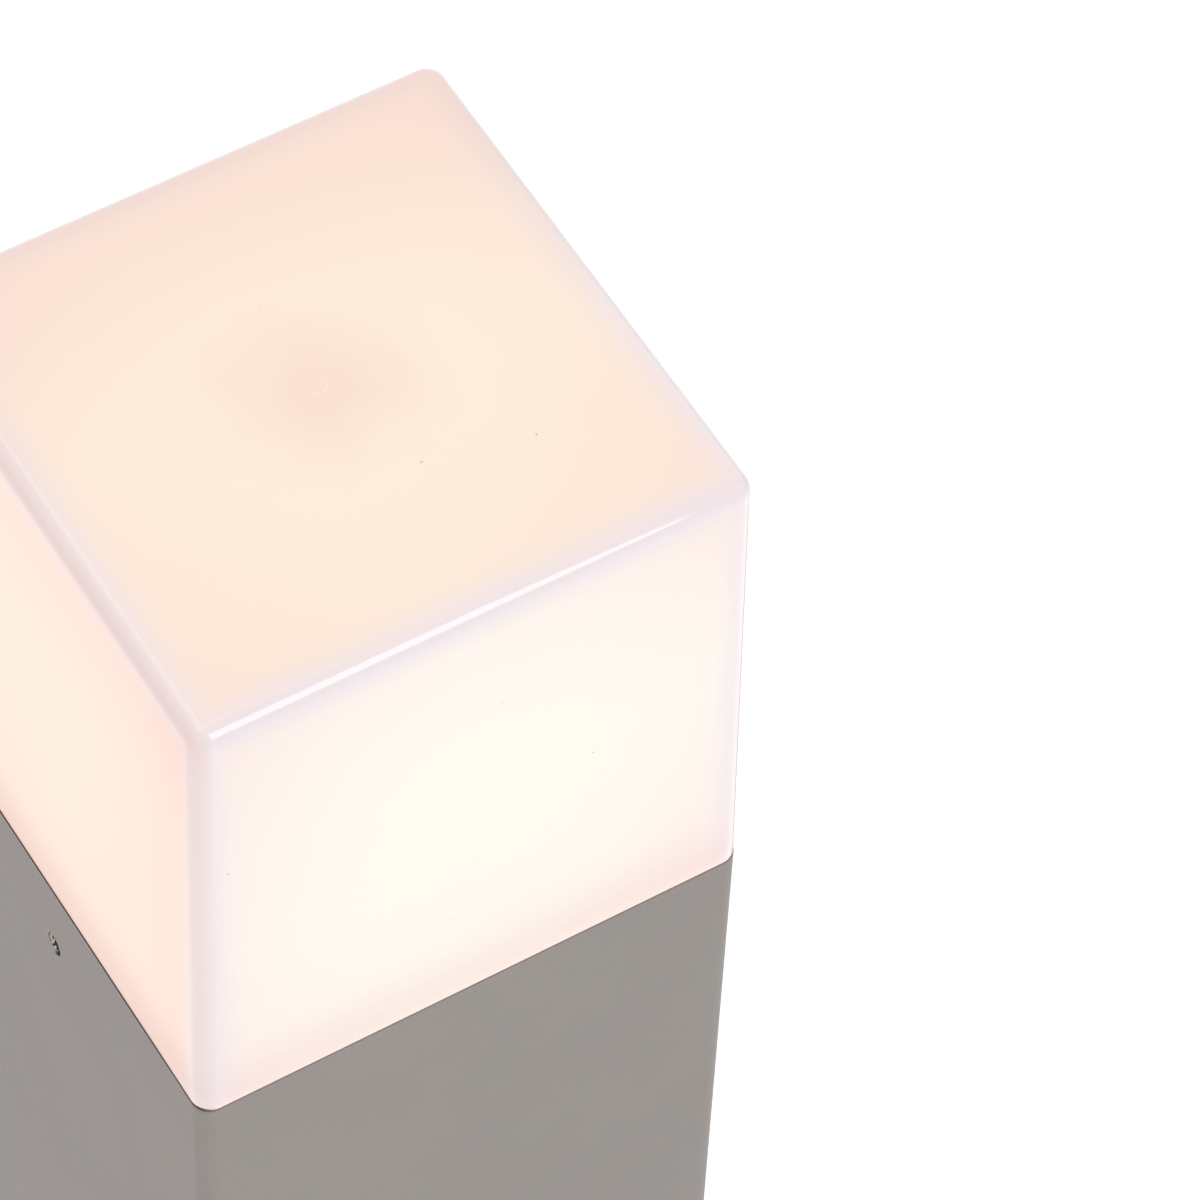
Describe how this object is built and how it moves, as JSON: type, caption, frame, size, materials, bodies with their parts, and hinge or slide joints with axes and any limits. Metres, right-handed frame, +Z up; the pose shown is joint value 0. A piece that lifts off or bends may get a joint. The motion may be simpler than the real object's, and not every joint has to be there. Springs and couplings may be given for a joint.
{
  "type": "outdoor floor lamp",
  "caption": "Square outdoor post lamp: an opal cube shade with a lit bulb inside sits flush on a grey powder-coated post, with a ground bracket in its foot.",
  "frame": {"origin": "centre of the square foot, on the ground", "axes": "+Z up; the clamp screws of the shade are on the -X and +X faces; -Y is a plain face"},
  "size_m": [0.1046, 0.1, 0.5],
  "materials": {
    "post_coat": "matte grey powder coat on aluminium",
    "seal_rubber": "matte",
    "opal_shade": "gloss",
    "stainless": "satin",
    "bare_aluminium": "satin",
    "zinc_steel": "satin",
    "holder_plastic": "satin",
    "nickel_brass": "satin",
    "brass": "satin",
    "cap_metal": "satin",
    "black_insulator": "gloss",
    "bulb_body": "satin",
    "bulb_opal": "satin",
    "board_white": "satin",
    "led_yellow": "satin",
    "board_green": "satin",
    "wire_brown": "satin",
    "wire_blue": "satin",
    "wire_green_yellow": "satin",
    "clip_nylon": "satin",
    "block_plastic": "satin"
  },
  "bodies": {
    "post": {"post_tube": "post_coat", "rim_seal": "seal_rubber", "lampholder_bridge": "bare_aluminium", "lampholder_base": "holder_plastic", "lampholder_shell": "holder_plastic", "lampholder_liner": "nickel_brass", "lampholder_terminals": "brass", "lampholder_terminal_screws": "stainless", "lampholder_screws": "stainless", "wire_live": "wire_brown", "wire_neutral": "wire_blue", "wire_earth": "wire_green_yellow", "wire_clips": "clip_nylon", "ground_bracket": "zinc_steel", "bracket_nuts": "zinc_steel", "foot_screws": "stainless", "cable_grommet": "seal_rubber", "terminal_block": "block_plastic", "terminal_tubes": "brass", "terminal_screws": "stainless", "block_screws": "stainless", "earth_lug": "zinc_steel", "earth_washer": "zinc_steel", "earth_screw": "stainless"},
    "shade": {"shade": "opal_shade"},
    "clamp_screw_left": {"clamp_screw_left": "stainless"},
    "clamp_screw_right": {"clamp_screw_right": "stainless"},
    "bulb": {"bulb_tip": "nickel_brass", "bulb_insulator": "black_insulator", "bulb_cap": "cap_metal", "bulb_housing": "bulb_body", "bulb_dome": "bulb_opal", "bulb_led_board": "board_white", "bulb_leds": "led_yellow", "bulb_driver": "board_green"},
    "centre_contact": {"centre_contact": "brass"}
  },
  "joints": [
    {"name": "shade_lift", "type": "slide", "parent": "post", "child": "shade", "axis": [0, 0, 1], "range_m": [0, 0.13]},
    {"name": "clamp_left_out", "type": "slide", "parent": "post", "child": "clamp_screw_left", "axis": [-1, 0, 0], "range_m": [0, 0.006]},
    {"name": "clamp_right_out", "type": "slide", "parent": "post", "child": "clamp_screw_right", "axis": [1, 0, 0], "range_m": [0, 0.006]},
    {"name": "bulb_turn", "type": "hinge", "parent": "post", "child": "bulb", "pos_m": [0, 0, 0.37], "axis": [0, 0, 1], "range_deg": [0, 1170]},
    {"name": "contact_press", "type": "hinge", "parent": "post", "child": "centre_contact", "pos_m": [0.009, 0, 0.3657], "axis": [0, -1, 0], "range_deg": [0, 3.5], "stiffness_Nm_per_rad": 0.6, "springref_deg": -2.86}
  ]
}
